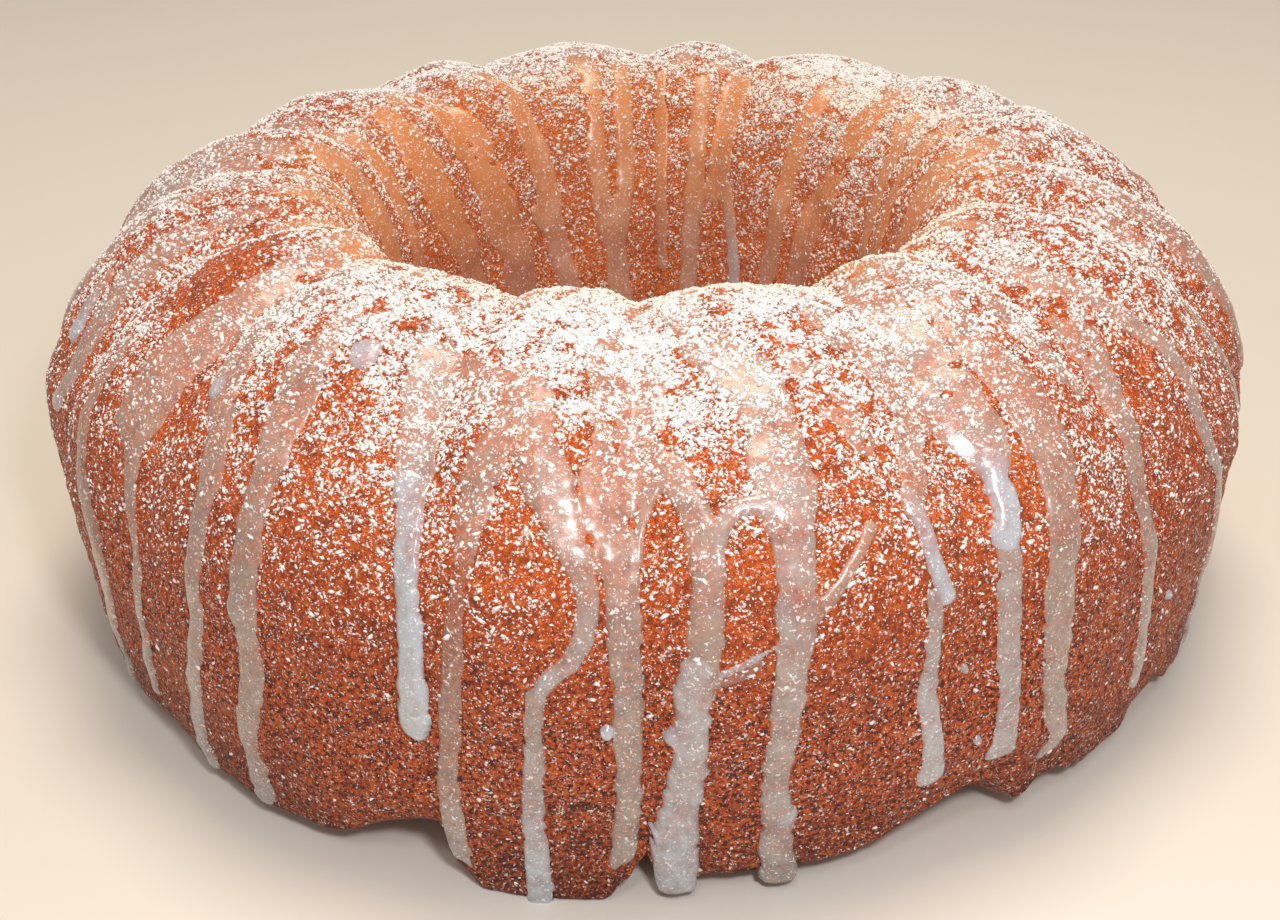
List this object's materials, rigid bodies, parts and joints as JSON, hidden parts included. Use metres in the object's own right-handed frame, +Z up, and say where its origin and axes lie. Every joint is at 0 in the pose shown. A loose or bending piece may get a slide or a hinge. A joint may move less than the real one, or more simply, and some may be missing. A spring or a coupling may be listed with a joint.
{
  "type": "fluted ring cake",
  "caption": "Tall fluted ring cake with a browned crust, a round hole, streaks and drips of white sugar glaze, and a dusting of powdered sugar.",
  "frame": {"origin": "centre of the bounding box at the surface that the cake rests on, on the axis of its hole", "axes": "+Z up along the axis of the hole; -Y towards the side that the picture shows"},
  "size_m": [0.2558, 0.2568, 0.093],
  "materials": {
    "crust": "baked crumb, matte",
    "glaze": "thin set sugar glaze, glossy and milky",
    "sugar": "powdered sugar, matte white"
  },
  "bodies": {
    "root": {"ring_cake": "crust"}
  },
  "joints": []
}
